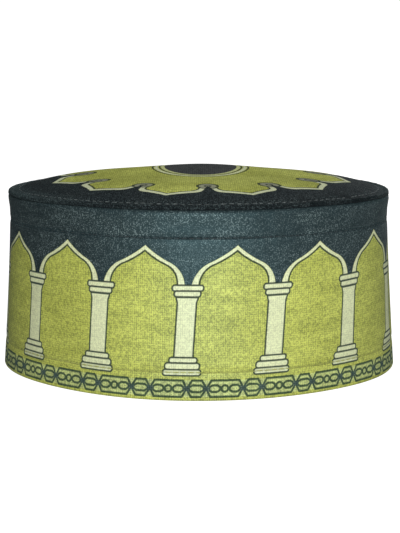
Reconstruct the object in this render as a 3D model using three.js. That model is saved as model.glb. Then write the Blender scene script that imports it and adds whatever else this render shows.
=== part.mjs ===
// Round velvet cap with straight sides: a stiffened side band, and a domed crown panel sewn into its rim.
// Millimetres, +Z up. The hem stands on z = 0, the axis is x = y = 0 and the front faces -Y.
import * as THREE from 'three';

// Driving dimensions of the side band.
const BASE_RADIUS = 94.2; // outside, at the hem
const TOP_RADIUS = 91.65; // outside, where the flare has run out
const FLARE_HEIGHT = 75;
const FLARE_POWER = 1.35;
const RIM_HEIGHT = 81.2; // flat top of the turned-in edge that carries the crown
const RIM_ROLL = 1.6; // radius of the band's top corner
const RIM_TURN_IN = 5.7; // reach of the turned-in edge, from the outside
const CLOTH = 2.2; // velvet on its stiff backing
const HEM_CLOTH = 3; // two layers where the hem is turned up
const HEM_DEPTH = 15;
const HEM_STEP = 0.8; // height over which the turned-up layer ends
const HEM_OUTER_ROLL = 0.8;
const HEM_INNER_ROLL = 0.8;
const STITCH_HEIGHTS = [12.8, 68.7]; // the two lines of stitching round the band
const STITCH_DENT = 0.35;
const STITCH_DENT_REACH = 1.4;
const SWELL = 0.7; // the band puffs out under the rim
const SWELL_HEIGHT = 80.5;
const SWELL_REACH = 5;

// Driving dimensions of the crown panel.
const SEAT_GAP = 0.3;
const CROWN_CLOTH = 2.2;
const DOME_FOOT = 82.1; // height of the dome's curve at its foot radius
const DOME_FOOT_RADIUS = 91.3;
const DOME_RISE = 7.6;
const DOME_POWER = 4.2;
const EDGE_ROLL = 0.9; // radius of the padded edge along the rim seam
const EDGE_RADIUS = 91.9; // outside of the padded edge

// How the cloth stands: the top is a little out of level and the sides are not quite round.
const RIM_TILT_X = -0.001; // rise for each millimetre towards +X
const RIM_TILT_Y = 0.003;
const SQUARING = { hem: 0.36, rim: 1.44 }; // out at the front and back, in at the sides
const FULLNESS = [
  { angle: 60, reach: 24, hem: 3.4, rim: 1.4 },
  { angle: -68, reach: 24, hem: 2.5, rim: 1.6 },
];
const WAVES = [
  { perTurn: 5, height: 0.12, phase: 115 },
  { perTurn: 8, height: 0.1, phase: 250 },
];
// Pinched places, by angle from the front towards +X, in degrees. "foot" is the height above which each acts.
const PINCHES = [
  { angle: 36, reach: 5.5, depth: 0.9, foot: 76 },
  { angle: 55, reach: 4, depth: 0.6, foot: 77 },
  { angle: -104, reach: 5, depth: 0.5, foot: 76 },
  { angle: 180, reach: 3, depth: 0.5, foot: -10 }, // the band's own closing seam
];
const PINCH_RISE = 4; // height over which a pinch sets in
// Soft ridge from side to side over the crown, where the cap folds flat. It dies out towards the rim seam.
const FOLD_RISE = 3.85;
const FOLD_PLACE = 3.4; // behind the middle
const FOLD_REACH = 20; // to the front and back
const FOLD_LENGTH = 61; // reach to the sides

const TURN_STEPS = 96;
const BAND_HEIGHTS = [3.5, 7, 11, 12.8, 14.6, 20, 28, 37, 46, 55, 62, 67, 68.7, 70.4, 74, 77];
const BAND_INNER_HEIGHTS = [76, 56, 36, 18];
const DOME_RADII = [88.4, 85, 80, 73, 64, 54, 44, 35, 26, 17, 8, 0];
const DOME_INNER_RADII = [0, 9, 18, 27, 40, 56, 70, 82];

const degrees = THREE.MathUtils.degToRad;

// Smooth hump that is 1 at zero distance and fades out at about twice its reach.
function hump(distance, reach) {
  return Math.exp(-((distance / reach) ** 2));
}

// Shortest way round from one angle to another, in degrees.
function angleBetween(a, b) {
  return Math.abs(THREE.MathUtils.euclideanModulo(a - b + 180, 360) - 180);
}

// Points of an arc in the profile plane, with x as the radius and y as the height.
function arc(radius, height, roll, fromAngle, toAngle, steps) {
  const points = [];
  for (let i = 0; i <= steps; i += 1) {
    const angle = degrees(THREE.MathUtils.lerp(fromAngle, toAngle, i / steps));
    points.push(new THREE.Vector2(radius + roll * Math.cos(angle), height + roll * Math.sin(angle)));
  }
  return points;
}

// Outside radius of the band's wall at a height.
function wallRadius(height) {
  const left = Math.max(1 - height / FLARE_HEIGHT, 0);
  const flared = TOP_RADIUS + (BASE_RADIUS - TOP_RADIUS) * left ** FLARE_POWER;
  return flared + SWELL * hump(height - SWELL_HEIGHT, SWELL_REACH);
}

// Depth of the line that each row of stitching draws into the cloth.
function stitchDent(height) {
  return STITCH_HEIGHTS.reduce((sum, row) => sum + STITCH_DENT * hump(height - row, STITCH_DENT_REACH), 0);
}

// Height of the dome's outer face at a radius, before the cloth settles.
function domeHeight(radius) {
  return DOME_FOOT + DOME_RISE * (1 - (radius / DOME_FOOT_RADIUS) ** DOME_POWER);
}

// Moves a point of the true turned shape to where the worn cloth lies.
function settle(point) {
  const radius = Math.hypot(point.x, point.y);
  if (radius > 0) {
    const angle = THREE.MathUtils.radToDeg(Math.atan2(point.x, -point.y));
    const outward = Math.min(radius / TOP_RADIUS, 1) ** 8;
    const upward = Math.min(point.z / FLARE_HEIGHT, 1);
    let shift = THREE.MathUtils.lerp(SQUARING.hem, SQUARING.rim, upward) * Math.cos(degrees(2 * angle));
    for (const full of FULLNESS) {
      const most = THREE.MathUtils.lerp(full.hem, full.rim, upward);
      shift += most * hump(angleBetween(angle, full.angle), full.reach);
    }
    for (const wave of WAVES) {
      shift += wave.height * Math.sin(degrees(wave.perTurn * angle + wave.phase));
    }
    for (const pinch of PINCHES) {
      const above = THREE.MathUtils.smoothstep(point.z, pinch.foot, pinch.foot + PINCH_RISE);
      shift -= pinch.depth * above * hump(angleBetween(angle, pinch.angle), pinch.reach);
    }
    const scale = 1 + (shift * outward) / radius;
    point.x *= scale;
    point.y *= scale;
  }
  const raised = THREE.MathUtils.clamp(point.z / RIM_HEIGHT, 0, 1);
  point.z += raised * (RIM_TILT_X * point.x + RIM_TILT_Y * point.y);
}

// Raises a point of the dome with the ridge of the crown's fold.
function foldDome(point) {
  const free = Math.max(1 - (Math.hypot(point.x, point.y) / (EDGE_RADIUS - RIM_TURN_IN)) ** 2, 0);
  point.z += FOLD_RISE * free * hump(point.y - FOLD_PLACE, FOLD_REACH) * hump(point.x, FOLD_LENGTH);
}

// Turns a profile round the Z axis, then moves each of its points with the functions that are given.
function turned(name, profile, material, ...moves) {
  const geometry = new THREE.LatheGeometry(profile, TURN_STEPS);
  geometry.rotateX(Math.PI / 2);
  const position = geometry.getAttribute('position');
  const point = new THREE.Vector3();
  for (let i = 0; i < position.count; i += 1) {
    point.fromBufferAttribute(position, i);
    for (const move of moves) {
      move(point);
    }
    position.setXYZ(i, point.x, point.y, point.z);
  }
  geometry.computeVertexNormals();
  const mesh = new THREE.Mesh(geometry, material);
  mesh.name = name;
  return mesh;
}

// Side band: flared wall, hem turned up inside, top edge turned in under the crown.
function sideBand() {
  const outer = BAND_HEIGHTS.map((z) => new THREE.Vector2(wallRadius(z) - stitchDent(z), z));
  const rimCentre = wallRadius(RIM_HEIGHT - RIM_ROLL) - RIM_ROLL;
  const turnInRadius = rimCentre + RIM_ROLL - RIM_TURN_IN;
  const inner = BAND_INNER_HEIGHTS.map((z) => new THREE.Vector2(wallRadius(z) - CLOTH, z));
  const hemInner = BASE_RADIUS - HEM_CLOTH;
  const profile = [
    ...arc(BASE_RADIUS - HEM_OUTER_ROLL, HEM_OUTER_ROLL, HEM_OUTER_ROLL, -90, 0, 3),
    ...outer,
    ...arc(rimCentre, RIM_HEIGHT - RIM_ROLL, RIM_ROLL, 0, 90, 4),
    new THREE.Vector2(turnInRadius, RIM_HEIGHT),
    new THREE.Vector2(turnInRadius, RIM_HEIGHT - CLOTH),
    ...inner,
    new THREE.Vector2(wallRadius(HEM_DEPTH) - CLOTH, HEM_DEPTH + HEM_STEP),
    new THREE.Vector2(wallRadius(HEM_DEPTH) - HEM_CLOTH, HEM_DEPTH),
    ...arc(hemInner + HEM_INNER_ROLL, HEM_INNER_ROLL, HEM_INNER_ROLL, 180, 270, 2),
  ];
  profile.push(profile[0].clone());
  const velvet = new THREE.MeshStandardMaterial({ color: 0xa9b56a, roughness: 0.92, metalness: 0 });
  return turned('side_band', profile, velvet, settle);
}

// Crown panel: one domed cloth whose padded edge lies along the rim seam, flat where it rests on the band.
function crownPanel() {
  const seat = RIM_HEIGHT + SEAT_GAP;
  const rollCentre = EDGE_RADIUS - EDGE_ROLL;
  const seatInner = wallRadius(RIM_HEIGHT - RIM_ROLL) - RIM_TURN_IN;
  const under = DOME_INNER_RADII.map((r) => new THREE.Vector2(r, domeHeight(r) - CROWN_CLOTH));
  const over = DOME_RADII.map((r) => new THREE.Vector2(r, domeHeight(r)));
  const profile = [
    ...under,
    new THREE.Vector2(seatInner, seat),
    ...arc(rollCentre, seat + EDGE_ROLL, EDGE_ROLL, -90, 110, 6),
    ...over,
  ];
  const velvet = new THREE.MeshStandardMaterial({ color: 0x5f6b45, roughness: 0.92, metalness: 0 });
  return turned('crown_panel', profile, velvet, foldDome, settle);
}

const cap = new THREE.Group();
cap.name = 'printed_cap';
cap.add(sideBand(), crownPanel());

export default cap;
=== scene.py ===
import math
import bpy
import numpy as np
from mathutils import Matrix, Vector


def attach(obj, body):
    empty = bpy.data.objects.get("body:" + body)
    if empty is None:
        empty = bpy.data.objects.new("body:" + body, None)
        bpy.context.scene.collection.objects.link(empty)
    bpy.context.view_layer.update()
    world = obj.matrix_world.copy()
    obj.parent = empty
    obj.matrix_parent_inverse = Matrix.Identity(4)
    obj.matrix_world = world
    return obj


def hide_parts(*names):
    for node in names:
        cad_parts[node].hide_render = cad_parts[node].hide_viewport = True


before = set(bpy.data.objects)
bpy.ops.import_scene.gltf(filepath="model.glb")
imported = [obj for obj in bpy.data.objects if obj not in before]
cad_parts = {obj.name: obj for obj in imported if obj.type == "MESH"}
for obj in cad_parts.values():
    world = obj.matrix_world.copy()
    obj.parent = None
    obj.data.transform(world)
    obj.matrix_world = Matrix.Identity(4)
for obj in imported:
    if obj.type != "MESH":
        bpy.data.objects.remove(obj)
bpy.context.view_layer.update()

# Camera, light and floor. The cap was photographed from just over half a metre, a little above its
# crown, against plain white and with the light close beside the camera.
CAMERA_PLACE = (0.00042, -0.59137, 0.13364)
CAMERA_DOWN = 8.69  # degrees below level
CAMERA_LENS = 81.69  # millimetres, on the usual 36 mm frame
SOFTBOXES = {
    # name: (place, aimed at, width and height, watts)
    "key": ((0.02, -0.7, 0.21), (0, 0, 0.045), (0.14, 0.14), 4.0),
    "right_fill": ((0.85, -0.12, 0.2), (0, 0, 0.045), (0.4, 0.4), 0.6),
    "crown_fill": ((-0.1, 0.1, 1.6), (0, 0, 0.08), (1.2, 1.2), 9.6),
    "back_fill": ((0.7, 1.5, 0.6), (0, 0, 0.045), (1.0, 1.0), 5.4),
}
ROOM_LIGHT = 0.008
ROOM_SEEN = 0.95  # the room's strength where the camera sees it
PAPER_WHITE = (0.36, 0.36, 0.355, 1)
PAPER_GLOW = 1.0
PAPER_DROP = 0.0002  # under the hem
PAPER_BEND_STEPS = 12

scene = bpy.context.scene
scene.view_settings.view_transform = "Standard"
camera = bpy.data.objects.new("camera", bpy.data.cameras.new("camera"))
camera.data.lens = CAMERA_LENS
camera.data.clip_start = 0.01
camera.location = CAMERA_PLACE
camera.rotation_euler = (math.radians(90 - CAMERA_DOWN), 0, 0)
scene.collection.objects.link(camera)
scene.camera = camera

for name, (place, aim, size, watts) in SOFTBOXES.items():
    lamp = bpy.data.lights.new(name, "AREA")
    lamp.shape = "RECTANGLE"
    lamp.size, lamp.size_y = size
    lamp.energy = watts
    softbox = bpy.data.objects.new(name, lamp)
    softbox.location = place
    softbox.rotation_euler = (Vector(aim) - Vector(place)).to_track_quat("-Z", "Y").to_euler()
    scene.collection.objects.link(softbox)


def glow_to_camera(tree, socket, seen, lit):
    """Gives a socket one strength where the camera sees it, and another where it lights the cap."""
    ray = tree.nodes.new("ShaderNodeLightPath")
    strength = tree.nodes.new("ShaderNodeMath")
    strength.operation = "MULTIPLY_ADD"
    strength.inputs[1].default_value = seen - lit
    strength.inputs[2].default_value = lit
    tree.links.new(ray.outputs["Is Camera Ray"], strength.inputs[0])
    tree.links.new(strength.outputs[0], socket)


def mesh_object(name, points, edges, faces):
    """A smooth mesh and its object, in the scene."""
    mesh = bpy.data.meshes.new(name)
    mesh.from_pydata(points, edges, faces)
    mesh.polygons.foreach_set("use_smooth", [True] * len(faces))
    thing = bpy.data.objects.new(name, mesh)
    scene.collection.objects.link(thing)
    return thing


def paper_sweep(name):
    """A sheet of white paper that lies flat under the cap and curves up behind it."""
    half, front, flat_end, bend, top = 4.0, -4.0, 1.6, 1.2, 3.2
    line = [(front, -PAPER_DROP), (flat_end, -PAPER_DROP)]
    for step in range(1, PAPER_BEND_STEPS + 1):
        turn = math.radians(90 * step / PAPER_BEND_STEPS)
        line.append((flat_end + bend * math.sin(turn), bend * (1 - math.cos(turn)) - PAPER_DROP))
    line.append((flat_end + bend, top))
    corners = [(x, y, z) for y, z in line for x in (-half, half)]
    faces = [(2 * i, 2 * i + 1, 2 * i + 3, 2 * i + 2) for i in range(len(line) - 1)]
    return mesh_object(name, corners, [], faces)


room = bpy.data.worlds.new("studio")
room.use_nodes = True
walls = room.node_tree.nodes["Background"]
walls.inputs["Color"].default_value = (1, 1, 1, 1)
glow_to_camera(room.node_tree, walls.inputs["Strength"], ROOM_SEEN, ROOM_LIGHT)
scene.world = room

floor = paper_sweep("paper_floor")
paper = bpy.data.materials.new("white_paper")
paper.use_nodes = True
paper_shader = paper.node_tree.nodes["Principled BSDF"]
paper_shader.inputs["Base Color"].default_value = PAPER_WHITE
paper_shader.inputs["Roughness"].default_value = 0.9
paper_shader.inputs["Emission Color"].default_value = (1, 1, 1, 1)
glow_to_camera(paper.node_tree, paper_shader.inputs["Emission Strength"], PAPER_GLOW, 0)
floor.data.materials.append(paper)

# Side band. One long strip of short-pile velvet on a stiff backing, printed with an arcade over a chain
# border, closed by a seam at the back. Its hem is turned up inside and stitched down, and its top edge
# is stitched and turned in under the crown. All lengths here are millimetres until the mesh is made.
METRES = 0.001
BASE_RADIUS = 94.2
TOP_RADIUS = 91.65
FLARE_HEIGHT = 75
FLARE_POWER = 1.35
RIM_HEIGHT = 81.2
RIM_ROLL = 1.6
RIM_TURN_IN = 5.7
CLOTH = 2.2
HEM_CLOTH = 3
HEM_DEPTH = 15
HEM_STEP = 0.8
HEM_ROLL = 0.8
UPPER_STITCHING = 69.5
LOWER_STITCHING = 12.35
STITCH_DENT = 0.35
STITCH_DENT_REACH = 1.4
SWELL = 0.7
SWELL_HEIGHT = 80.5
SWELL_REACH = 5
RIM_TILT_X = -0.001
RIM_TILT_Y = 0.003
SQUARING = (0.36, 1.44)  # out at the front and back and in at the sides, at the hem and at the rim
FULLNESS = [(60, 24, 3.4, 1.4), (-68, 24, 2.5, 1.6)]  # angle, reach, at the hem, at the rim
WAVES = [(5, 0.12, 115), (8, 0.1, 250)]  # waves in a turn, height, phase
PINCHES = [
    # angle from the front, reach, depth, height above which it acts. The last is the closing seam.
    (36, 5.5, 0.9, 76),
    (55, 4, 0.6, 77),
    (-104, 5, 0.5, 76),
    (180, 3, 0.5, -10),
]
PINCH_RISE = 4
COLUMNS_ROUND = 480
ON_AXIS = 1e-6  # a smaller radius counts as the axis

# Random waviness of the cloth: size, waves in a turn, height over which they drift, seed.
BODY_WAVES = (0.22, (7, 11, 13, 17, 19), 60, 3)
BODY_WAVES_FROM = (0, 12)  # heights between which the waviness of the wall sets in
BODY_WAVES_TO = (70, 80)  # heights between which it runs out
STITCH_PUCKERS = (0.13, (61, 73, 89, 97, 113), 14, 5)
RIM_PUCKERS = (0.2, (43, 57, 71, 83), 22, 8)
PUCKER_REACH = (4.5, 4, 5)  # up and down from the upper row, the lower row and the rim
LOWER_PUCKERS = 0.6  # the lower row's share of the puckers
RIM_FILL = 0.55  # how far the pile on both sides of the rim seam swells into it
RIM_FILL_PLACE = 0.2  # below the rim
RIM_FILL_REACH = 0.45


def hump(distance, reach):
    """1 at no distance, fading out at about twice the reach."""
    return np.exp(-((distance / reach) ** 2))


def smooth_rise(value, low, high):
    """0 below low, 1 above high, and an S curve between them."""
    part = np.clip((value - low) / (high - low), 0, 1)
    return part * part * (3 - 2 * part)


def angle_from(turn, place):
    """Shortest way round from one angle to another, in degrees."""
    return np.abs((turn - place + 180) % 360 - 180)


def wall_radius(height):
    """Outside radius of the band at a height."""
    left = np.maximum(1 - height / FLARE_HEIGHT, 0)
    flared = TOP_RADIUS + (BASE_RADIUS - TOP_RADIUS) * left ** FLARE_POWER
    return flared + SWELL * hump(height - SWELL_HEIGHT, SWELL_REACH)


def stitched_radius(height):
    """Outside radius of the band where the stitching draws it in."""
    upper = hump(height - UPPER_STITCHING, STITCH_DENT_REACH)
    lower = hump(height - LOWER_STITCHING, STITCH_DENT_REACH)
    return wall_radius(height) - STITCH_DENT * (upper + lower)


def settle(x, y, z):
    """Moves points of the true turned shape to where the worn cloth lies."""
    radius = np.maximum(np.hypot(x, y), ON_AXIS)
    turn = np.degrees(np.arctan2(x, -y))
    upward = np.minimum(z / FLARE_HEIGHT, 1)
    shift = (SQUARING[0] + (SQUARING[1] - SQUARING[0]) * upward) * np.cos(np.radians(2 * turn))
    for place, reach, at_hem, at_rim in FULLNESS:
        shift = shift + (at_hem + (at_rim - at_hem) * upward) * hump(angle_from(turn, place), reach)
    for count, height, phase in WAVES:
        shift = shift + height * np.sin(np.radians(count * turn + phase))
    for place, reach, depth, foot in PINCHES:
        above = smooth_rise(z, foot, foot + PINCH_RISE)
        shift = shift - depth * above * hump(angle_from(turn, place), reach)
    scale = 1 + shift * np.minimum(radius / TOP_RADIUS, 1) ** 8 / radius
    x, y = x * scale, y * scale
    z = z + np.clip(z / RIM_HEIGHT, 0, 1) * (RIM_TILT_X * x + RIM_TILT_Y * y)
    return x, y, z


def arc(radius, height, roll, start, end, steps):
    """Points of an arc in the profile, as radius and height, from one angle in degrees to another."""
    turns = np.radians(np.linspace(start, end, steps + 1))
    return [(radius + roll * math.cos(turn), height + roll * math.sin(turn)) for turn in turns]


def ripple(turn, height, waves):
    """Random waviness that closes round the cap and drifts slowly with height."""
    size, counts, drift_height, seed = waves
    chance = np.random.default_rng(seed)
    total = 0
    for count in counts:
        phase, drift = chance.uniform(0, 360, 2)
        total = total + np.sin(np.radians(count * turn + phase + drift * height / drift_height))
    return size * (total / len(counts))


def worn_band(x, y, z):
    """The settled band with the small puckers that its stitching and its rim seam draw into the pile."""
    turn = np.degrees(np.arctan2(x, -y))
    upper = hump(z - UPPER_STITCHING, PUCKER_REACH[0])
    lower = LOWER_PUCKERS * hump(z - LOWER_STITCHING, PUCKER_REACH[1])
    free = smooth_rise(z, *BODY_WAVES_FROM) * (1 - smooth_rise(z, *BODY_WAVES_TO))
    growth = free * ripple(turn, z, BODY_WAVES) + (upper + lower) * ripple(turn, z, STITCH_PUCKERS)
    growth = growth + hump(z - RIM_HEIGHT, PUCKER_REACH[2]) * ripple(turn, z, RIM_PUCKERS)
    growth = growth + RIM_FILL * hump(z - RIM_HEIGHT + RIM_FILL_PLACE, RIM_FILL_REACH)
    scale = 1 + growth / np.hypot(x, y)
    return settle(x * scale, y * scale, z)


def revolve(name, profile, shape):
    """Turns a profile of (radius, height) rows round the Z axis and moves its points with a function.

    A row on the axis becomes one point, and a profile that comes back to its first row is closed there.
    Returns the object, the row of each face and the places of the points."""
    turns = np.radians(np.arange(COLUMNS_ROUND) * 360 / COLUMNS_ROUND - 180)
    points, first = [], []
    for radius, height in profile:
        if points and (radius, height) == profile[0]:
            first.append(0)
            continue
        first.append(len(points))
        if radius < ON_AXIS:
            points.append((0.0, 0.0, height))
        else:
            points.extend(zip(radius * np.sin(turns), -radius * np.cos(turns), [height] * COLUMNS_ROUND))
    places = np.array(points, float)
    places = np.stack(shape(*places.T), 1)
    faces, rows = [], []
    for row in range(len(profile) - 1):
        low, high = first[row], first[row + 1]
        for column in range(COLUMNS_ROUND):
            after = (column + 1) % COLUMNS_ROUND
            if profile[row][0] < ON_AXIS:
                face = (low, high + after, high + column)
            elif profile[row + 1][0] < ON_AXIS:
                face = (low + column, low + after, high)
            else:
                face = (low + column, low + after, high + after, high + column)
            faces.append(face)
            rows.append(row)
    return mesh_object(name, places * METRES, [], faces), np.array(rows), places


outer_heights = np.concatenate([np.arange(1.6, 79.0, 1.0), [79.2]])
inner_heights = [78.0, 76, 72, 68.7, 64, 56, 48, 40, 32, 24, 18]
rim_centre = wall_radius(RIM_HEIGHT - RIM_ROLL) - RIM_ROLL
turn_in_radius = rim_centre + RIM_ROLL - RIM_TURN_IN
outside_rows = arc(BASE_RADIUS - HEM_ROLL, HEM_ROLL, HEM_ROLL, -90, 0, 5)
outside_rows += [(stitched_radius(z), z) for z in outer_heights]
outside_rows += arc(rim_centre, RIM_HEIGHT - RIM_ROLL, RIM_ROLL, 0, 90, 8)
rim_rows = [
    (turn_in_radius + 2.5, RIM_HEIGHT),
    (turn_in_radius, RIM_HEIGHT),
    (turn_in_radius - 0.1, RIM_HEIGHT - CLOTH / 2),
    (turn_in_radius, RIM_HEIGHT - CLOTH),
]
hem_wall = wall_radius(HEM_DEPTH)
inside_rows = [(wall_radius(z) - CLOTH, z) for z in inner_heights]
inside_rows += [
    (hem_wall - CLOTH, HEM_DEPTH + HEM_STEP),
    (hem_wall - CLOTH - 0.35, HEM_DEPTH + HEM_STEP / 2),
    (hem_wall - HEM_CLOTH, HEM_DEPTH - 0.4),
    (wall_radius(LOWER_STITCHING) - HEM_CLOTH + 0.3, LOWER_STITCHING),
    (wall_radius(9) - HEM_CLOTH, 9),
    (wall_radius(5) - HEM_CLOTH, 5),
]
hem_end = arc(BASE_RADIUS - HEM_CLOTH + HEM_ROLL, HEM_ROLL, HEM_ROLL, 180, 270, 4)
band_profile = outside_rows + rim_rows + inside_rows + hem_end + outside_rows[:1]
LINING_FROM_ROW = len(outside_rows) + 3
LINING_TO_ROW = len(band_profile) - 6
band, band_rows, band_places = revolve("side_band_velvet", band_profile, worn_band)

# The print's own map: millimetres along the strip from the front, and millimetres up from the hem. It
# follows the cloth's length, so the arches keep their width where the cap bulges, and it closes at the
# back seam with a whole number of arches and of border links.
ARCH_COUNT = 15
ARCH_BAY = 38.9965
LINK_COUNT = 24
LINK_PERIOD = 24.1007
BORDER_TOP = (9.7, 10.4)  # between these heights the spacing passes from the border's to the arcade's
SEAM_CLEAR = 165  # the spacing is as photographed up to this far from the front
PRINT_LIFT = 1.6  # the arches stand a little higher round to the right
LIFT_ALONG = (50, 92)  # from the front
LIFT_END = (150, 230)
LIFT_UP = (25, 66)


def write_map(piece, name, across, up):
    """Gives a piece a UV map from two coordinates for each corner of its faces."""
    layer = piece.data.uv_layers.new(name=name)
    layer.data.foreach_set("uv", np.stack([across, up], -1).astype(np.float32).ravel())


rings = band_places.reshape(-1, COLUMNS_ROUND, 3)
rings = np.concatenate([rings, rings[:1]])
ring_steps = np.linalg.norm(np.roll(rings, -1, axis=1) - rings, axis=2)
along = np.concatenate([np.zeros((len(rings), 1)), np.cumsum(ring_steps, axis=1)], axis=1)
front = COLUMNS_ROUND // 2
along = along - along[:, front : front + 1]
heights = np.array([height for _, height in band_profile])
arcade_part = smooth_rise(heights, *BORDER_TOP)[:, None]
half_print = (LINK_COUNT * LINK_PERIOD * (1 - arcade_part) + ARCH_COUNT * ARCH_BAY * arcade_part) / 2
half_ring = np.where(along < 0, -along[:, :1], along[:, -1:])
eased = SEAM_CLEAR + (np.abs(along) - SEAM_CLEAR) * (half_print - SEAM_CLEAR) / (half_ring - SEAM_CLEAR)
print_along = np.sign(along) * np.where(np.abs(along) > SEAM_CLEAR, eased, np.abs(along))

row, column = np.divmod(np.arange(len(band.data.polygons)), COLUMNS_ROUND)
corner_rows = np.stack([row, row, row + 1, row + 1], 1)
corners = (corner_rows, np.stack([column, column + 1, column + 1, column], 1))
rising = smooth_rise(print_along, *LIFT_ALONG) * (1 - smooth_rise(print_along, *LIFT_END))
lift = PRINT_LIFT * rising * smooth_rise(heights, *LIFT_UP)[:, None]
print_up = heights[:, None] - lift
write_map(band, "print", print_along[corners], print_up[corners])

# The map that the finished strip is laid out on as one picture: the outside in two long rows, and the
# plain inside in two narrow rows above them.
SHEET_HALVES = 2
OUTSIDE_SHARE = 0.82
SHEET_MARGIN = 0.004


def run_along(rows):
    """How far each row of a profile lies along it, from 0 to 1."""
    steps = [math.dist(one, two) for one, two in zip(rows, rows[1:])]
    run = np.concatenate([[0], np.cumsum(steps)])
    return run / run[-1]


sheet_columns = COLUMNS_ROUND // SHEET_HALVES
half, half_column = np.divmod(column, sheet_columns)
half_along = (half_column[:, None] + np.array([0, 1, 1, 0])) / sheet_columns
sheet_u = SHEET_MARGIN + (1 - 2 * SHEET_MARGIN) * half_along
inside_face = row >= LINING_FROM_ROW
run_outside = run_along(band_profile[: LINING_FROM_ROW + 1])
run_inside = run_along(band_profile[LINING_FROM_ROW:])
run_at = np.concatenate([run_outside, run_inside[1:]])[corner_rows]
run_at = np.where(inside_face[:, None] & (corner_rows == LINING_FROM_ROW), 0, run_at)
share = np.where(inside_face, 1 - OUTSIDE_SHARE, OUTSIDE_SHARE) / SHEET_HALVES
foot = np.where(inside_face, OUTSIDE_SHARE, 0) + half * share
sheet_v = foot[:, None] + SHEET_MARGIN + run_at * (share[:, None] - 2 * SHEET_MARGIN)
write_map(band, "OFBake", sheet_u, sheet_v)

# The printing. Every shape of the print is a distance in millimetres that is worked out with Math nodes,
# and its edges are all a little soft, because the ink bleeds into the pile.
PRINT_SOFT = 0.3


def feed(tree, node, inputs):
    """Links Numbers or sockets to a node's inputs, by name or by place, or sets fixed numbers or colours."""
    for place, value in inputs.items():
        socket = node.inputs[place]
        if isinstance(value, Number):
            tree.links.new(value.socket, socket)
        elif isinstance(value, bpy.types.NodeSocket):
            tree.links.new(value, socket)
        elif socket.type == "RGBA":
            socket.default_value = (*value, 1)
        else:
            socket.default_value = value


def add_node(tree, kind, inputs, **settings):
    """Adds a node with its settings and feeds its inputs."""
    node = tree.nodes.new(kind)
    for setting, value in settings.items():
        setattr(node, setting, value)
    feed(tree, node, inputs)
    return node


def math_node(operation):
    """A method of Number that adds one Math node."""
    return lambda number, *others: number.calc(operation, *others)


class Number:
    """A number that changes over the cloth, worked out with a tree's Math nodes."""

    __add__ = math_node("ADD")
    __sub__ = math_node("SUBTRACT")
    __mul__ = math_node("MULTIPLY")
    __truediv__ = math_node("DIVIDE")
    __abs__ = math_node("ABSOLUTE")
    least = math_node("MINIMUM")
    most = math_node("MAXIMUM")
    above = math_node("GREATER_THAN")
    below = math_node("LESS_THAN")

    def __init__(self, tree, socket):
        self.tree = tree
        self.socket = socket

    def calc(self, operation, *others):
        inputs = dict(enumerate((self, *others)))
        node = add_node(self.tree, "ShaderNodeMath", inputs, operation=operation)
        return Number(self.tree, node.outputs[0])

    def length_with(self, other):
        return (self * self + other * other).calc("SQRT")

    def opposite(self):
        """1 where this is 0, and 0 where it is 1."""
        return self * -1 + 1

    def repeat(self, period):
        """Distance from the nearest multiple of the period, with its sign."""
        return (self + period / 2).calc("WRAP", period, 0.0) - period / 2

    def inside(self):
        """1 where this distance is below zero and 0 above, with the print's soft edge."""
        return ((self / PRINT_SOFT) * -1 + 0.5).most(0.0).least(1.0)

    def line(self, width):
        """1 on a line of that width along zero distance."""
        return (abs(self) - width / 2).inside()

    def rise(self, low, high):
        """0 below low and 1 above high, with an S curve between them."""
        inputs = {"Value": self, "From Min": low, "From Max": high}
        node = add_node(self.tree, "ShaderNodeMapRange", inputs, interpolation_type="SMOOTHSTEP")
        return Number(self.tree, node.outputs["Result"])

    def fall(self, low, high):
        """1 below low and 0 above high, with an S curve between them."""
        return self.rise(low, high).opposite()


def new_group(name, numbers, places=()):
    """An empty shader node group and its inputs as Numbers by name. Places are its vector inputs."""
    tree = bpy.data.node_groups.new(name, "ShaderNodeTree")
    numbers = numbers.split(", ")
    for socket in numbers:
        tree.interface.new_socket(socket, in_out="INPUT", socket_type="NodeSocketFloat")
    for socket in places:
        tree.interface.new_socket(socket, in_out="INPUT", socket_type="NodeSocketVector")
    source = tree.nodes.new("NodeGroupInput")
    return tree, {socket: Number(tree, source.outputs[socket]) for socket in (*numbers, *places)}


def put_out(tree, results):
    """Gives a group its outputs, from Numbers by name."""
    for socket in results:
        tree.interface.new_socket(socket, in_out="OUTPUT", socket_type="NodeSocketFloat")
    add_node(tree, "NodeGroupOutput", results)


def use_group(tree, group, values):
    """Places a group in a tree, feeds its inputs by name, and returns its outputs as Numbers by name."""
    node = add_node(tree, "ShaderNodeGroup", values, node_tree=group)
    return {output.name: Number(tree, output) for output in node.outputs}


def split(tree, place):
    """The three parts of a vector as Numbers."""
    node = add_node(tree, "ShaderNodeSeparateXYZ", {0: place})
    return [Number(tree, output) for output in node.outputs]


def blend_colour(tree, mask, under, over):
    """Lays one colour over another by a mask. Each colour is a socket or a fixed colour."""
    return add_node(tree, "ShaderNodeMix", {"Factor": mask, 6: under, 7: over}, data_type="RGBA").outputs[2]


def lay_colours(tree, colour, layers):
    """Lays colours over a first one in turn, each by its own mask."""
    for mask, over in layers:
        colour = blend_colour(tree, mask, colour, over)
    return colour


# Distance from a straight stroke of the print.
stroke_group, given = new_group("print_stroke", "Across, Up, Start Across, Start Up, End Across, End Up")
run_x = given["End Across"] - given["Start Across"]
run_y = given["End Up"] - given["Start Up"]
from_x = given["Across"] - given["Start Across"]
from_y = given["Up"] - given["Start Up"]
part = (from_x * run_x + from_y * run_y) / (run_x * run_x + run_y * run_y)
part = part.most(0.0).least(1.0)
put_out(stroke_group, {"Distance": (from_x - run_x * part).length_with(from_y - run_y * part)})

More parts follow.
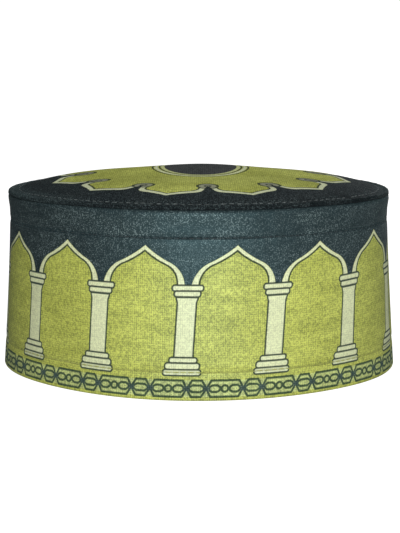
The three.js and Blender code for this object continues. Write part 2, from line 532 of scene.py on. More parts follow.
# Signed distance from a rounded bar of the print, such as a moulding of a column.
bar_group, given = new_group(
    "print_bar", "Across, Up, Middle Across, Middle Up, Half Width, Half Height, Corner"
)
past_x = abs(given["Across"] - given["Middle Across"]) - given["Half Width"] + given["Corner"]
past_y = abs(given["Up"] - given["Middle Up"]) - given["Half Height"] + given["Corner"]
outside = past_x.most(0.0).length_with(past_y.most(0.0))
put_out(bar_group, {"Distance": outside + past_x.most(past_y).least(0.0) - given["Corner"]})

# Signed distance from one edge of a pointed ogee arch: a straight leg, a round shoulder and a hollow
# curve up to the tip. It is below zero inside the arch.
arch_group, given = new_group(
    "ogee_edge", "Across, Up, Leg, Spring, Shoulder Radius, Hollow Across, Hollow Up, Hollow Radius"
)
shoulder_x = given["Leg"] - given["Shoulder Radius"]
side_x = given["Across"] - shoulder_x
side_y = given["Up"] - given["Spring"]
shoulder_gap = side_x.length_with(side_y) - given["Shoulder Radius"]
hollow_x = given["Across"] - given["Hollow Across"]
hollow_y = given["Up"] - given["Hollow Up"]
hollow_gap = given["Hollow Radius"] - hollow_x.length_with(hollow_y)
reach_x = given["Hollow Across"] - shoulder_x
reach_y = given["Hollow Up"] - given["Spring"]
in_hollow = (reach_x * side_y - reach_y * side_x).above(0.0)
curved = shoulder_gap + (hollow_gap - shoulder_gap) * in_hollow
leg_gap = given["Across"] - given["Leg"]
put_out(arch_group, {"Distance": curved + (leg_gap - curved) * side_y.below(0.0)})


def ogee(leg, spring, shoulder, tip, slope):
    """The arch group's sizes for an edge that leaves its tip with its normal at that slope in degrees."""
    middle = np.array([leg - shoulder, spring])
    normal = np.array([math.cos(math.radians(slope)), math.sin(math.radians(slope))])
    down = np.array([0, tip]) - middle
    radius = (shoulder**2 - down @ down) / (2 * (down @ normal - shoulder))
    hollow = np.array([0, tip]) + normal * radius
    return leg, spring, shoulder, float(hollow[0]), float(hollow[1]), float(radius)


def gap_from(tree, group, across, up, sizes):
    """Distance from a shape of the print, from its group, a place across and up, and its sizes."""
    node = add_node(tree, "ShaderNodeGroup", dict(enumerate((across, up, *sizes))), node_tree=group)
    return Number(tree, node.outputs[0])


# The arcade: ogee arches on columns with ringed capitals and stepped bases.
PRINT_LEAN = 0.081  # the print runs a little askew along the strip
COLUMN_PLACE = -8.52  # of the column left of the front
ARCH_OUTER = ogee(18.04, 48.13, 12.2, 66.3, 49.4)
ARCH_INNER = ogee(15.24, 50.0, 9.45, 64.55, 50.35)
ARCH_FOOT = 48.4
INK_WIDTH = 0.76
SHAFT_HALF = 4.05
SHAFT_FROM = 18.8
SHAFT_TO = 44.6
SHAFT_LEAN = 0.014
NECK = (42.0, 44.2)  # the shaft widens between these heights
NECK_FLARE = 0.5
BAR_CORNER = 0.85  # share of a moulding's half height that is rounded
MOULDINGS = [
    # middle across, middle up, half width, half height
    (0.0, 48.5, 6.6, 1.25),
    (0.0, 46.05, 5.6, 1.27),
    (0.3, 17.65, 5.95, 1.2),
    (0.1, 15.05, 7.4, 1.45),
    (0.1, 12.3, 8.1, 1.3),
]

arcade_group, given = new_group("arcade_print", "Along, Up")
up = given["Up"]
across = (given["Along"] - up * PRINT_LEAN - COLUMN_PLACE).repeat(ARCH_BAY)
from_tip = abs(across) * -1 + ARCH_BAY / 2
outer_gap = gap_from(arcade_group, arch_group, from_tip, up, ARCH_OUTER)
inner_gap = gap_from(arcade_group, arch_group, from_tip, up, ARCH_INNER)
over_capital = up.above(ARCH_FOOT)
frame_pale = (outer_gap.inside() - inner_gap.inside()).most(0.0) * over_capital
frame_line = (inner_gap + INK_WIDTH / 2).line(INK_WIDTH) * over_capital
beside_shaft = abs(across - (up * -1 + SHAFT_TO) * SHAFT_LEAN) - (up.rise(*NECK) * NECK_FLARE + SHAFT_HALF)
past_shaft = abs(up - (SHAFT_FROM + SHAFT_TO) / 2) - (SHAFT_TO - SHAFT_FROM) / 2
shaft_gap = beside_shaft.most(past_shaft)
bars_inside = up * 0.0
bars_line = up * 0.0
for *bar, half_height in MOULDINGS:
    bar += [half_height, half_height * BAR_CORNER]
    bar_gap = gap_from(arcade_group, bar_group, across, up, bar)
    bars_inside = bars_inside.most(bar_gap.inside())
    bars_line = bars_line.most(bar_gap.line(INK_WIDTH))
ink = (frame_line.most(shaft_gap.line(INK_WIDTH)) * bars_inside.opposite()).most(bars_line)
pale = frame_pale.most(shaft_gap.inside()).most(bars_inside)
night = (outer_gap * -1).inside() * over_capital * pale.opposite()
put_out(arcade_group, {"Night": night, "Pale": pale, "Line": ink})

# The chain border: short and long eight-sided links in turn, joined at crossed nodes.
LINK_PLACE = -1.53  # middle of the short link nearest the front
BORDER_HEIGHT = 5.45
LINK_OUTER = 3.56
LINK_INNER = 1.45
NODE_PLACE = 4.22
NODE_REACH = (0.6, 2.6)  # the ink turns from blue to green between these distances from a node
CHAIN_INK = 1.0
LONG_MIDDLE = LINK_PERIOD / 2
RING_RADIUS = 1.4  # of the small ring in the middle of a long link
CHAIN_LINES = [
    # the outer and the inner line of a quarter of a short link and a quarter of a long one: across, up
    [(0, LINK_OUTER), (2.1, LINK_OUTER), (NODE_PLACE, 0), (6.05, LINK_OUTER), (LONG_MIDDLE, LINK_OUTER)],
    [(0, LINK_INNER), (1.7, LINK_INNER), (2.8, 0.8), (3.3, 0), (5.3, 0), (5.7, 0.8), (6.7, LINK_INNER),
     (8.7, LINK_INNER), (9.7, 0.9), (10.2, 0)],
]

border_group, given = new_group("chain_border_print", "Along, Up")
across = abs((given["Along"] - given["Up"] * PRINT_LEAN - LINK_PLACE).repeat(LINK_PERIOD))
up = abs(given["Up"] - BORDER_HEIGHT)
nearest = abs((across - LONG_MIDDLE).length_with(up) - RING_RADIUS)
for line in CHAIN_LINES:
    for start, end in zip(line, line[1:]):
        nearest = nearest.least(gap_from(border_group, stroke_group, across, up, (*start, *end)))
crossing = (across - NODE_PLACE).length_with(up).fall(*NODE_REACH)
in_links = (up - LINK_OUTER).inside()
put_out(border_group, {"Line": nearest.line(CHAIN_INK), "Crossing": crossing, "Link": in_links})

# The velvet's pile: specks, with painted glints where single tufts catch the light, the fine ribs of the
# ground cloth, and wide soft patches where the nap lies another way.
UPRIGHT_RIBS = 0.04
LEVEL_RIBS = 0.03
PATCH_SEED = 9.0
TUFT_SEEDS = (1.0, 4.0)
SPECK_RANGE = (0.38, 0.62)  # each mask sets in and is full between these levels of its noise
GLINT_FINE_RANGE = (0.5, 0.66)
GLINT_TUFT_RANGE = (0.32, 0.5)
PATCH_RANGE = (0.3, 0.7)

pile_group, given = new_group(
    "velvet_pile", "Along, Up, Tuft Size, Patch Size, Rib Spacing", ("Position", "Nap Place")
)


def noise(tree, inputs, dimensions="3D"):
    """A noise over the cloth, between 0 and 1."""
    node = add_node(tree, "ShaderNodeTexNoise", inputs, noise_dimensions=dimensions)
    return Number(tree, node.outputs["Fac"])


def pile_noise(place, size, detail, seed):
    """A noise of one tuft or patch size, read at the surface's own place."""
    scale = size.calc("POWER", -1.0)
    return noise(pile_group, {"Vector": place, "Scale": scale, "Detail": detail, "W": seed}, "4D")


tufts = pile_noise(given["Position"], given["Tuft Size"], 2.0, TUFT_SEEDS[0])
fine = pile_noise(given["Position"], given["Tuft Size"] * 0.5, 1.0, TUFT_SEEDS[1])
patches = pile_noise(given["Nap Place"], given["Patch Size"], 3.0, PATCH_SEED)
rib_turn = given["Rib Spacing"].calc("POWER", -1.0) * (2 * math.pi)
upright_ribs = (given["Along"] * rib_turn).calc("SINE")
level_ribs = (given["Up"] * rib_turn).calc("SINE")
grain = tufts * 0.5 + fine * 0.5 + upright_ribs * UPRIGHT_RIBS + level_ribs * LEVEL_RIBS
put_out(pile_group, {
    "Specks": grain.rise(*SPECK_RANGE),
    # painted glints: single tufts made lighter where they catch the light
    "Painted Glints": fine.rise(*GLINT_FINE_RANGE) * tufts.rise(*GLINT_TUFT_RANGE),
    "Patches": patches.rise(*PATCH_RANGE),
    "Height": tufts * 0.6 + fine * 0.4,
})

# Colours and finish of the printed velvet. The deep green and the blue lie in the nap's patches.
LEAF_GREEN = (0.455, 0.485, 0.088)
LEAF_GREEN_DEEP = (0.41, 0.435, 0.069)
NIGHT = (0.011, 0.0125, 0.013)
NIGHT_BLUE = (0.007, 0.008, 0.010)
# colour of the painted glints of tufts that catch the light
PAINTED_GLINT_TEAL = (0.17, 0.225, 0.225)
CREAM = (0.69, 0.725, 0.43)
PRINT_INK = (0.02, 0.03, 0.019)
CHAIN_GREEN = (0.014, 0.036, 0.018)
CHAIN_BLUE = (0.012, 0.03, 0.045)
LINK_MINT = (0.46, 0.54, 0.28)
# painted shade in the creases, the seams and along the stitching rows
CREASE_SHADE = (0.004, 0.005, 0.006)
TUFT_SIZE = 0.00095
PATCH_SIZE = 0.017
RIB_SPACING = 0.95  # millimetres
SPECK_SHADE = 0.75
PATCH_SHADE = 0.16
PALE_CALM = 0.6  # the pale print hides this much of the specks and patches
PILE_DEPTH = 0.0003
PILE_BUMP = 0.55
NAP_LIGHT = {"IOR": 1.8, "Specular Tint": (0.5, 0.92, 1.0)}  # the pile's broad teal highlight
BAND_GLOSS = {"Specular IOR Level": 0.44}
LYING_PILE = 0.7  # roughness of the band's pile, which is brushed flat
PRESSED_PILE = 1.05  # roughness where the band's pile is creased or inked
SPECK_GLOSS = 0.1  # the specks are this much less rough
TUFT_GLINTS = (0.28, 0.73)  # how far the painted glints show over the dark, where the nap lies and where it stands
PRINT_WOBBLE = (0.35, 0.245)  # how far the pile draws the print's edges along and up
INK_SHARE = 0.95  # how fully the arcade's lines cover the cloth
CHAIN_SHARE = 0.92
MINT_SHARE = 0.45
CREASE_MATT = 1.6  # a crease turns matt before its painted shade is fully dark


def new_material(name, finish):
    """A new material with a finish by socket name, its tree, its shader and the surface's own place."""
    material = bpy.data.materials.new(name)
    material.use_nodes = True
    tree = material.node_tree
    shader = tree.nodes["Principled BSDF"]
    feed(tree, shader, finish)
    place = Number(tree, tree.nodes.new("ShaderNodeTexCoord").outputs["Object"])
    return material, tree, shader, place


def shaded_colour(tree, colour, shade):
    """A colour made darker or lighter by a Number."""
    return add_node(tree, "ShaderNodeHueSaturation", {"Value": shade, "Color": colour}).outputs["Color"]


def raise_surface(tree, shader, height, depth, strength):
    """Raises the surface by a Number, to a depth in metres."""
    bump = add_node(tree, "ShaderNodeBump", {"Height": height, "Distance": depth, "Strength": strength})
    feed(tree, shader, {"Normal": bump.outputs["Normal"]})


def pile_masks(tree, place, along, up, nap_squeeze):
    """The pile's masks for cloth whose ribs run along and up, with its nap streaks squeezed upwards."""
    nap = add_node(tree, "ShaderNodeCombineXYZ", {0: along * METRES, 1: up * (METRES * nap_squeeze)})
    return use_group(tree, pile_group, {
        "Position": place, "Nap Place": nap.outputs[0], "Along": along, "Up": up,
        "Tuft Size": TUFT_SIZE, "Patch Size": PATCH_SIZE, "Rib Spacing": RIB_SPACING,
    })


def finish_pile(tree, shader, masks, colour, calm, roughness):
    """Shades the print with the pile, more calmly where it is pale, and raises its tufts."""
    variation = (masks["Specks"] - 0.5) * SPECK_SHADE + (masks["Patches"] - 0.5) * PATCH_SHADE
    shade = variation * (calm * -PALE_CALM + 1) + 1
    roughness = masks["Specks"] * -SPECK_GLOSS + roughness
    feed(tree, shader, {"Base Color": shaded_colour(tree, colour, shade), "Roughness": roughness})
    raise_surface(tree, shader, masks["Height"], PILE_DEPTH, PILE_BUMP)


# Painted shade in the creases along the seams: on both sides of the rim seam at the front, deeper at two
# pinched places, and down the closing seam at the back.
SEAM_FRONT = 12  # the seam's painted shade is deepest at this angle from the front
SEAM_FRONT_REACH = (35, 75)
SEAM_FOOT = (79.0, 80.6)
SEAM_TOP = (82.6, 83.1)
SEAM_SHADE = 0.5
PRESSED_PLACES = [(33.5, 5.5, 82.0), (48, 3.5, 82.8)]  # angle from the front, reach, height
PRESSED_UP = (0.6, 2.6)
PRESSED_SHADE = 0.85
BACK_SEAM_REACH = (0.1, 0.9)

seam_shade_group, given = new_group("painted_seam_shade", "East, North, Height")
turn = given["East"].calc("ARCTAN2", given["North"] * -1) * (180 / math.pi)
front_part = abs(turn - SEAM_FRONT).fall(*SEAM_FRONT_REACH)
beside_seam = given["Height"].rise(*SEAM_FOOT) * given["Height"].fall(*SEAM_TOP)
seam_shade = beside_seam * front_part * SEAM_SHADE
for place, reach, height in PRESSED_PLACES:
    near = abs(turn - place).fall(reach * 0.3, reach)
    level = abs(given["Height"] - height).fall(*PRESSED_UP)
    seam_shade = seam_shade.most(near * level * PRESSED_SHADE)
back_shade = abs(given["East"]).fall(*BACK_SEAM_REACH) * given["North"].above(0.0)
put_out(seam_shade_group, {"Seam": seam_shade, "Front": front_part, "Back": back_shade})

# Painted shade runs in a thin line along each row of stitching, where the band creases.
UPPER_CREASE = (0.2, 1.0)
UPPER_CREASE_SHADE = 0.5
LOWER_CREASE = (0.15, 0.75)
LOWER_CREASE_SHADE = 0.32
BACK_SHADE = 0.7
NAP_SQUEEZE = 4

band_velvet, tree, shader, place = new_material("printed_band_velvet", NAP_LIGHT | BAND_GLOSS)
print_place = add_node(tree, "ShaderNodeUVMap", {}, uv_map="print").outputs["UV"]
along_strip, up_strip, _ = split(tree, print_place)
masks = pile_masks(tree, place, along_strip, up_strip, NAP_SQUEEZE)
wobble = masks["Height"] - 0.5
on_print = {"Along": along_strip + wobble * PRINT_WOBBLE[0], "Up": up_strip + wobble * PRINT_WOBBLE[1]}
arcade = use_group(tree, arcade_group, on_print)
border = use_group(tree, border_group, on_print)
east, north, height = [part / METRES for part in split(tree, place)]
seam_shading = use_group(tree, seam_shade_group, {"East": east, "North": north, "Height": height})
level = height - (east * RIM_TILT_X + north * RIM_TILT_Y) * (height / RIM_HEIGHT)
upper_crease_shading = abs(level - UPPER_STITCHING).fall(*UPPER_CREASE) * UPPER_CREASE_SHADE
lower_crease_shading = abs(level - LOWER_STITCHING).fall(*LOWER_CREASE) * LOWER_CREASE_SHADE
# painted shade along the rim seam, the back seam and the rows of stitching
shaded = seam_shading["Seam"].most(seam_shading["Back"] * BACK_SHADE).most(upper_crease_shading).most(lower_crease_shading)
green = blend_colour(tree, masks["Patches"], LEAF_GREEN_DEEP, LEAF_GREEN)
dark = blend_colour(tree, masks["Patches"], NIGHT_BLUE, NIGHT)
# painted glints, stronger where the nap stands
painted_glints = masks["Painted Glints"] * (masks["Patches"] * (TUFT_GLINTS[1] - TUFT_GLINTS[0]) + TUFT_GLINTS[0])
colour = lay_colours(tree, green, [
    (border["Link"] * MINT_SHARE, LINK_MINT),
    (arcade["Night"], blend_colour(tree, painted_glints, dark, PAINTED_GLINT_TEAL)),
    (arcade["Pale"], CREAM),
    (arcade["Line"] * INK_SHARE, PRINT_INK),
    (border["Line"] * CHAIN_SHARE, blend_colour(tree, border["Crossing"], CHAIN_GREEN, CHAIN_BLUE)),
    (shaded, CREASE_SHADE),
])
matt = (shaded * CREASE_MATT).most(border["Line"]).most(arcade["Line"]).least(1.0)
roughness = matt * (PRESSED_PILE - LYING_PILE) + LYING_PILE
finish_pile(tree, shader, masks, colour, arcade["Pale"], roughness)

# The back of the cloth, seen only from below: a plain woven cotton backing.
LINING_COTTON = (0.30, 0.29, 0.23)
LINING_THREAD = 0.0006
LINING_SPOTS = 260
LINING_SHADE = (0.6, 0.25, 0.4)  # the least brightness, and what the weave and the spots add
LINING_DEPTH = 0.0002
LINING_BUMP = 0.5
COTTON_FINISH = {"Roughness": 0.9, "Specular IOR Level": 0.2}
lining, tree, shader, place = new_material("cotton_backing", COTTON_FINISH)
weave_x, weave_y, weave_z = split(tree, place)
round_cap = weave_x.calc("ARCTAN2", weave_y) * (TOP_RADIUS * METRES)
warp = (round_cap / LINING_THREAD * math.pi).calc("SINE")
weft = (weave_z / LINING_THREAD * math.pi).calc("SINE")
weave = warp * weft * 0.5 + 0.5
spots = noise(tree, {"Vector": place, "Scale": LINING_SPOTS})
shade = weave * LINING_SHADE[1] + spots * LINING_SHADE[2] + LINING_SHADE[0]
feed(tree, shader, {"Base Color": shaded_colour(tree, LINING_COTTON, shade)})
raise_surface(tree, shader, weave, LINING_DEPTH, LINING_BUMP)

band.data.materials.append(band_velvet)
band.data.materials.append(lining)
is_lining = (band_rows >= LINING_FROM_ROW) & (band_rows < LINING_TO_ROW)
band.data.polygons.foreach_set("material_index", is_lining.astype(np.int32))
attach(band, "root")
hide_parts("side_band")

# Crown. A round of the same velvet on its backing, shallowly domed, with a soft ridge where the cap folds
# flat. Its edge is padded and sewn to the band's turned-in rim.
SEAT_GAP = 0.3
DOME_FOOT = 82.1
DOME_FOOT_RADIUS = 91.3
DOME_RISE = 7.6
DOME_POWER = 4.2
EDGE_ROLL = 0.9
EDGE_RADIUS = 91.9
EDGE_REACH = 3
EDGE_STITCHING = 87.2  # radius of the row that holds the padding in the edge
EDGE_DENT = 0.3
EDGE_DENT_REACH = 0.9
EDGE_SWELL = 0.42  # the padded edge stands this far out
FOLD_RISE = 3.85
FOLD_PLACE = 3.4
FOLD_REACH = 20
FOLD_LENGTH = 61
DIMPLES = 0.25
DIMPLE_SPREAD = (9, 11)  # from side to side, and from front to back
DIMPLE_START = (1.3, 0.4)
SEAM_FILL_REACH = 0.4
SEAM_HANG = 0.8  # share of the gap over the band's rim that the crown's edge hangs into
SEAM_HANG_REACH = (0.3, 2)  # up, and in from the edge
EDGE_WAVES = (0.16, (37, 47, 59, 71), 15, 12)
EDGE_WAVES_PLACE = (86, 6)  # radius and reach
SEAM_PUCKERS = (0.16, (53, 67, 79, 91), 9, 15)


def dome_height(radius):
    """Height of the crown's outer face at a radius, before the fold."""
    return DOME_FOOT + DOME_RISE * (1 - (radius / DOME_FOOT_RADIUS) ** DOME_POWER)


def worn_crown(x, y, z):
    """The crown with its fold, its soft unevenness and the puckers along the rim seam."""
    radius = np.hypot(x, y)
    turn = np.degrees(np.arctan2(x, -y))
    at_edge = hump(radius - EDGE_RADIUS, EDGE_REACH)
    free = np.maximum(1 - (radius / (EDGE_RADIUS - RIM_TURN_IN)) ** 2, 0)
    z = z + FOLD_RISE * free * hump(y - FOLD_PLACE, FOLD_REACH) * hump(x, FOLD_LENGTH)
    dimple_x = np.sin(x / DIMPLE_SPREAD[0] + DIMPLE_START[0])
    dimple_y = np.sin(y / DIMPLE_SPREAD[1] + DIMPLE_START[1])
    z = z + DIMPLES * free * dimple_x * dimple_y
    z = z + hump(radius - EDGE_WAVES_PLACE[0], EDGE_WAVES_PLACE[1]) * ripple(turn, radius, EDGE_WAVES)
    growth = at_edge * (EDGE_SWELL + ripple(turn, z, SEAM_PUCKERS))
    growth = growth + RIM_FILL * at_edge * hump(z - RIM_HEIGHT - SEAT_GAP, SEAM_FILL_REACH)
    z = z - EDGE_DENT * hump(radius - EDGE_STITCHING, EDGE_DENT_REACH) * (z > RIM_HEIGHT + CLOTH)
    hang = SEAM_HANG * hump(z - RIM_HEIGHT - SEAT_GAP, SEAM_HANG_REACH[0])
    z = z - SEAT_GAP * hang * hump(radius - EDGE_RADIUS, SEAM_HANG_REACH[1])
    scale = 1 + growth / np.maximum(radius, 1)
    return settle(x * scale, y * scale, z)


seat = RIM_HEIGHT + SEAT_GAP
seat_inner = wall_radius(RIM_HEIGHT - RIM_ROLL) - RIM_TURN_IN
under_radii = [0, 6, 12, 18, 24, 30, 38, 46, 54, 62, 70, 76, 82]
over_radii = np.concatenate([np.arange(90, 24, -1.0), np.arange(24, 0, -1.5), [0]])
crown_profile = [(r, dome_height(r) - CLOTH) for r in under_radii]
crown_profile += [(seat_inner, seat), (seat_inner + 2.5, seat)]
crown_profile += arc(EDGE_RADIUS - EDGE_ROLL, seat + EDGE_ROLL, EDGE_ROLL, -90, 110, 10)
crown_profile += [(r, dome_height(r)) for r in over_radii]
crown, crown_rows, crown_places = revolve("crown_velvet", crown_profile, worn_crown)

# The map that the crown is laid out on as one picture: its face as a large round and its plain underside
# as a small one.
FACE_ROUND = (0.375, 0.375, 0.368)  # middle and radius on the map
UNDER_ROUND = (0.87, 0.87, 0.122)
under_rows = len(under_radii)
corner_points = np.zeros(len(crown.data.loops), np.int32)
crown.data.loops.foreach_get("vertex_index", corner_points)
corner_counts = np.zeros(len(crown.data.polygons), np.int32)
crown.data.polygons.foreach_get("loop_total", corner_counts)
under_corner = np.repeat(crown_rows < under_rows, corner_counts)
point_rows = np.clip((corner_points - 1) // COLUMNS_ROUND + 1, 0, len(crown_profile) - 1)
face_runs = np.concatenate([np.ones(under_rows), 1 - run_along(crown_profile[under_rows:])])
under_runs = np.ones(len(crown_profile))
under_runs[: under_rows + 1] = run_along(crown_profile[: under_rows + 1])
flat_radius = np.where(under_corner, under_runs[point_rows], face_runs[point_rows])
corner_turn = np.arctan2(crown_places[corner_points, 0], -crown_places[corner_points, 1])
middle_x, middle_y, reach = np.where(under_corner, np.array([UNDER_ROUND]).T, np.array([FACE_ROUND]).T)
out = reach * flat_radius
write_map(crown, "OFBake", middle_x + out * np.sin(corner_turn), middle_y - out * np.cos(corner_turn))

# The rosette: twelve pointed petals with pale borders, a small ring where two petals meet, and a ringed
# dark disc in the middle.
PETAL_COUNT = 12
ROSETTE_MIDDLE = (0.67, -2.4)
ROSETTE_LENGTH = 1.035  # the rosette is this much longer from front to back than from side to side
ROSETTE_TURN = 0.055
PETAL_OUTER = ogee(14.3, 62.8, 5.0, 73.1, 60)
PETAL_INNER = ogee(12.2, 61.0, 4.8, 70.8, 55)
NOTCH_RING_PLACE = 56.2
NOTCH_RING = 4.5
NOTCH_RING_END = 61.5  # the ring's line stops at this radius, between the petals
NOTCH_LINE = 1.26
NOTCH_DISC = 3.8
NOTCH_EYE = 1.3
NOTCH_SQUASH = 0.85
DISC_RADIUS = 17.6
MIDDLE_GREEN_RING = 19.3
MIDDLE_LINE = 19.9
MIDDLE_PALE = (20.8, 22.4)
MIDDLE_OUTER_LINE = 23.3
ROSETTE_INK = 0.9

rosette_group, given = new_group("rosette_print", "East, North")
radius = given["East"].length_with(given["North"])
turn = given["East"].calc("ARCTAN2", given["North"] * -1) - ROSETTE_TURN


def rosette_round(reach):
    """1 inside a circle round the rosette's middle, and 0 outside."""
    return (radius - reach).inside()


step = 2 * math.pi / PETAL_COUNT
from_tip = (turn - step / 2).repeat(step)
across = abs(radius * from_tip.calc("SINE"))
up = radius * from_tip.calc("COSINE")
outer_gap = gap_from(rosette_group, arch_group, across, up, PETAL_OUTER)
inner_gap = gap_from(rosette_group, arch_group, across, up, PETAL_INNER)
from_notch = turn.repeat(step)
notch_x = radius * from_notch.calc("SINE")
notch_y = (radius * from_notch.calc("COSINE") - NOTCH_RING_PLACE) * NOTCH_SQUASH
notch_gap = notch_x.length_with(notch_y)
petals = outer_gap.inside().most(rosette_round(NOTCH_RING_PLACE))
green = inner_gap.inside().most(rosette_round(NOTCH_RING_PLACE))
petal_line = (inner_gap + ROSETTE_INK / 2).line(ROSETTE_INK) * radius.above(NOTCH_RING_PLACE)
notch_disc = (notch_gap - NOTCH_DISC).inside()
notch_line = (notch_gap - NOTCH_RING).line(NOTCH_LINE) * radius.below(NOTCH_RING_END)
eye_line = (notch_gap - NOTCH_EYE).line(ROSETTE_INK)
middle = rosette_round(DISC_RADIUS)
middle_pale = rosette_round(MIDDLE_PALE[1]) - rosette_round(MIDDLE_PALE[0])
middle_soft = (rosette_round(MIDDLE_GREEN_RING) - middle) * 0.5
middle_lines = (radius - MIDDLE_LINE).line(ROSETTE_INK).most((radius - MIDDLE_OUTER_LINE).line(ROSETTE_INK))
pale = (petals - green).most(0.0).most(notch_disc * petals).most(middle_pale).most(middle_soft)
ink = (petal_line * notch_disc.opposite()).most(notch_line).most(eye_line).most(middle_lines)
put_out(rosette_group, {
    "Green": green * notch_disc.opposite() * middle.opposite(),
    "Pale": pale * middle.opposite(),
    "Line": ink,
    "Notch": notch_disc * petals,
    "Disc": middle,
})

CROWN_GREEN = (0.44, 0.47, 0.102)
CROWN_GREEN_DEEP = (0.375, 0.4, 0.075)
CROWN_CREAM = (0.62, 0.66, 0.42)
NOTCH_GREY = (0.20, 0.20, 0.14)
# painted sheen where the crown's padded edge catches the light at the sides
PAINTED_EDGE_SHEEN = (0.024, 0.034, 0.036)
DISC_GREY = (0.05, 0.051, 0.051)
CROWN_GLOSS = {"Specular IOR Level": 0.08}
STANDING_PILE = 0.95  # roughness of the crown's pile
CROWN_EDGE = (82, 90)  # the padded edge begins between these radii
CROWN_WOBBLE = 0.4
CROWN_TUFT_GLINTS = (0.26, 0.36)  # how far the painted glints show, in the middle and at the edge
NOTCH_SHARE = 0.8
ROSETTE_SHARE = 0.92

crown_velvet, tree, shader, place = new_material("printed_crown_velvet", NAP_LIGHT | CROWN_GLOSS)
east, north, height = [part / METRES for part in split(tree, place)]
masks = pile_masks(tree, place, east, north, 1)
wobble = (masks["Height"] - 0.5) * CROWN_WOBBLE
rosette = use_group(tree, rosette_group, {
    "East": east - ROSETTE_MIDDLE[0] + wobble,
    "North": (north - ROSETTE_MIDDLE[1]) / ROSETTE_LENGTH + wobble,
})
seam_shading = use_group(tree, seam_shade_group, {"East": east, "North": north, "Height": height})
edge_part = east.length_with(north).rise(*CROWN_EDGE)
# painted glints, stronger on the padded edge
painted_glints = masks["Painted Glints"] * (edge_part * (CROWN_TUFT_GLINTS[1] - CROWN_TUFT_GLINTS[0]) + CROWN_TUFT_GLINTS[0])
dark = blend_colour(tree, masks["Patches"], NIGHT_BLUE, NIGHT)
colour = lay_colours(tree, dark, [
    # painted sheen on the padded edge, fading out towards the front
    (edge_part * seam_shading["Front"].opposite(), PAINTED_EDGE_SHEEN),
    (painted_glints, PAINTED_GLINT_TEAL),
    (rosette["Disc"], DISC_GREY),
    (rosette["Green"], blend_colour(tree, masks["Patches"], CROWN_GREEN_DEEP, CROWN_GREEN)),
    (rosette["Pale"], CROWN_CREAM),
    (rosette["Notch"] * NOTCH_SHARE, NOTCH_GREY),
    (rosette["Line"] * ROSETTE_SHARE, PRINT_INK),
    # painted shade along the rim seam and at the pinched places
    (seam_shading["Seam"], CREASE_SHADE),
])
finish_pile(tree, shader, masks, colour, rosette["Pale"], STANDING_PILE)

crown.data.materials.append(crown_velvet)
crown.data.materials.append(lining)
crown.data.polygons.foreach_set("material_index", (crown_rows < under_rows).astype(np.int32))
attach(crown, "root")
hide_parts("crown_panel")

# Stitching. Rows of short machine stitches in polyester thread: a dark one under the rim that holds the
# band's turned-in edge, a leaf-green one over the border that holds the hem, and a grey one on the crown
# that holds the padding in its edge.
PATH_POINTS = 720
THREAD_GLOSS = {"Specular IOR Level": 0.4}
THREAD_LINT = 900
THREAD_WEAR = (0.35, 0.65)
THREAD_ROUGHNESS = (0.5, 0.25)  # the least, and what wear adds
THREAD_PLY = 3500
THREAD_DEPTH = 0.0001
STITCH_SEED = 7
STITCH_SIZES = ("Spacing", "Stitch Length", "Thread Radius", "Unevenness")


def stitch_path(name, radius, height, shape):
    """A closed line of edges round the cap, on the worn cloth's face."""
    turns = np.radians(np.arange(PATH_POINTS) * 360 / PATH_POINTS)
    level = np.full(PATH_POINTS, float(height))
    places = np.stack(shape(radius * np.sin(turns), -radius * np.cos(turns), level), 1)
    edges = [(i, (i + 1) % PATH_POINTS) for i in range(PATH_POINTS)]
    return mesh_object(name, places * METRES, edges, [])


stitch_tree = bpy.data.node_groups.new("stitch_row", "GeometryNodeTree")
stitch_sockets = {}
for names, kind in ((["Path"], "Geometry"), (STITCH_SIZES, "Float"), (["Thread"], "Material")):
    for name in names:
        socket = stitch_tree.interface.new_socket(name, in_out="INPUT", socket_type="NodeSocket" + kind)
        stitch_sockets[name] = socket.identifier
stitch_tree.interface.new_socket("Stitches", in_out="OUTPUT", socket_type="NodeSocketGeometry")
given = stitch_tree.nodes.new("NodeGroupInput").outputs


def stitch_node(kind, output, inputs, **settings):
    """Adds a node to the stitch tree and returns one of its outputs."""
    return add_node(stitch_tree, kind, inputs, **settings).outputs[output]


path = stitch_node("GeometryNodeMeshToCurve", "Curve", {"Mesh": given["Path"]})
path = stitch_node(
    "GeometryNodeResampleCurve", "Curve", {"Curve": path, "Length": given["Spacing"]}, mode="LENGTH"
)
tangent = stitch_node("GeometryNodeInputTangent", "Tangent", {})
along_path = stitch_node("FunctionNodeAlignRotationToVector", "Rotation", {"Vector": tangent}, axis="Z")
ball = stitch_node("GeometryNodeMeshUVSphere", "Mesh", {"Segments": 6, "Rings": 5, "Radius": 1})
half_length = stitch_node("ShaderNodeMath", 0, {0: given["Stitch Length"], 1: 0.5}, operation="MULTIPLY")
thick = given["Thread Radius"]
size = stitch_node("ShaderNodeCombineXYZ", 0, {0: thick, 1: thick, 2: half_length})
stitches = stitch_node(
    "GeometryNodeInstanceOnPoints", "Instances",
    {"Points": path, "Instance": ball, "Rotation": along_path, "Scale": size},
)
uneven = given["Unevenness"]
most = stitch_node("ShaderNodeVectorMath", 0, {0: (1, 1, 1), "Scale": uneven}, operation="SCALE")
least = stitch_node("ShaderNodeVectorMath", 0, {0: (-1, -1, -1), "Scale": uneven}, operation="SCALE")
shift = stitch_node(
    "FunctionNodeRandomValue", 0, {"Min": least, "Max": most, "Seed": STITCH_SEED}, data_type="FLOAT_VECTOR"
)
stitches = stitch_node(
    "GeometryNodeTranslateInstances", "Instances",
    {"Instances": stitches, "Translation": shift, "Local Space": False},
)
stitches = stitch_node("GeometryNodeRealizeInstances", "Geometry", {"Geometry": stitches})
stitches = stitch_node("GeometryNodeSetShadeSmooth", "Geometry", {"Geometry": stitches})
stitches = stitch_node(
    "GeometryNodeSetMaterial", "Geometry", {"Geometry": stitches, "Material": given["Thread"]}
)
add_node(stitch_tree, "NodeGroupOutput", {"Stitches": stitches})


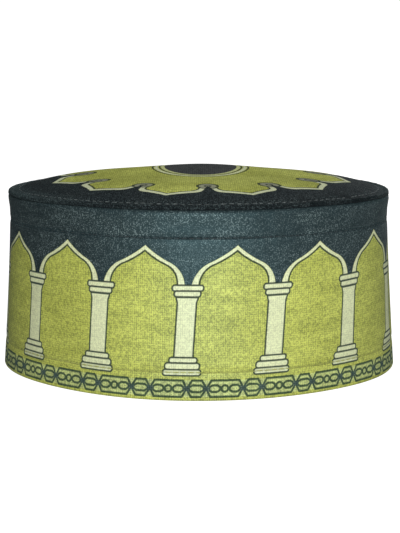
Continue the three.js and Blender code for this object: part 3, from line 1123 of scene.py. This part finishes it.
def sewing_thread(name, colour, light_colour):
    """Twisted polyester thread that shines a little, with lint and wear along it."""
    thread, tree, shader, place = new_material(name, THREAD_GLOSS)
    worn = noise(tree, {"Vector": place, "Scale": THREAD_LINT}).rise(*THREAD_WEAR)
    dyed = blend_colour(tree, worn, colour, light_colour)
    roughness = worn * THREAD_ROUGHNESS[1] + THREAD_ROUGHNESS[0]
    feed(tree, shader, {"Base Color": dyed, "Roughness": roughness})
    ply = noise(tree, {"Vector": place, "Scale": THREAD_PLY})
    raise_surface(tree, shader, ply, THREAD_DEPTH, 1.0)
    return thread


STITCH_ROWS = {
    # name: (radius, height, cloth, (spacing, stitch length, thread radius, unevenness), thread, slot)
    "upper_stitching": (
        stitched_radius(UPPER_STITCHING) + 0.02, UPPER_STITCHING, worn_band, (3.1, 2.5, 0.2, 0.07),
        sewing_thread("night_thread", (0.012, 0.018, 0.02), (0.035, 0.055, 0.06)), "band_velvet",
    ),
    "hem_stitching": (
        stitched_radius(LOWER_STITCHING) + 0.04, LOWER_STITCHING, worn_band, (3.3, 2.7, 0.24, 0.07),
        sewing_thread("leaf_thread", (0.30, 0.325, 0.07), (0.42, 0.45, 0.13)), "band_velvet",
    ),
    "crown_edge_stitching": (
        EDGE_STITCHING, dome_height(EDGE_STITCHING) + 0.1, worn_crown, (3.4, 2.3, 0.17, 0.12),
        sewing_thread("edge_thread", (0.08, 0.095, 0.095), (0.19, 0.225, 0.22)), "crown_velvet",
    ),
}
for name, (radius, height, cloth, sizes, thread, slot) in STITCH_ROWS.items():
    stitches = stitch_path(name, radius, height, cloth)
    sewn = stitches.modifiers.new("sewn", "NODES")
    sewn.node_group = stitch_tree
    for socket, value in zip(STITCH_SIZES, sizes):
        sewn[stitch_sockets[socket]] = value * METRES
    sewn[stitch_sockets["Thread"]] = thread
    drawn = stitches.evaluated_get(bpy.context.evaluated_depsgraph_get())
    plain = bpy.data.meshes.new_from_object(drawn)
    stitches.modifiers.remove(sewn)
    stitches.data = plain
    plain.materials.clear()
    plain.materials.append(thread)
    plain.polygons.foreach_set("material_index", [0] * len(plain.polygons))
    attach(stitches, "root")
